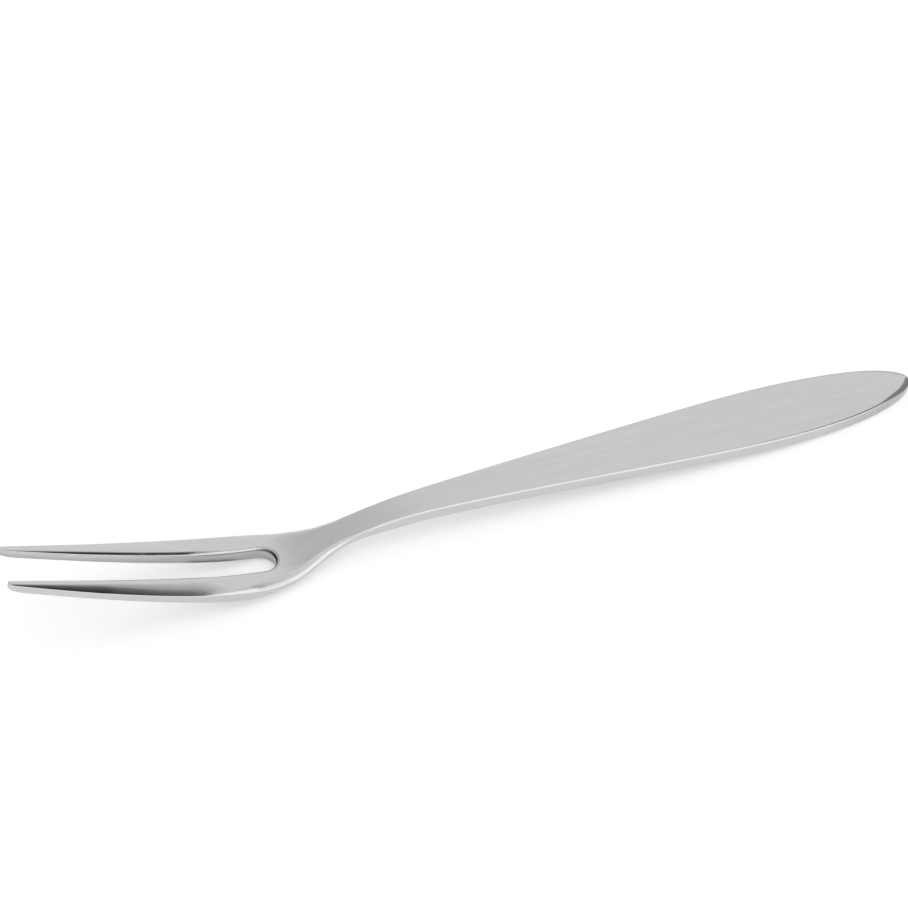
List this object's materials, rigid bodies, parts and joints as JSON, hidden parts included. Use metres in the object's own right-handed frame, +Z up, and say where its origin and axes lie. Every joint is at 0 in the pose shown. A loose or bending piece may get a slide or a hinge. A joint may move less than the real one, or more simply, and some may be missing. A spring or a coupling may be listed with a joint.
{
  "type": "appetizer fork",
  "caption": "Slim appetizer fork in solid stainless steel: long leaf-shaped handle, narrow neck and upswept tapering tines split by a round-ended slot.",
  "frame": {"origin": "on the table, under the middle of the fork's length and width", "axes": "+X from the tine tips to the point of the handle, +Y across the fork, +Z up, the way the tines curve"},
  "size_m": [0.1498, 0.0124, 0.0171],
  "materials": {
    "fork": "brushed along the length on the flat faces, polished on the rounded edges"
  },
  "bodies": {
    "root": {"fork": "fork"}
  },
  "joints": []
}
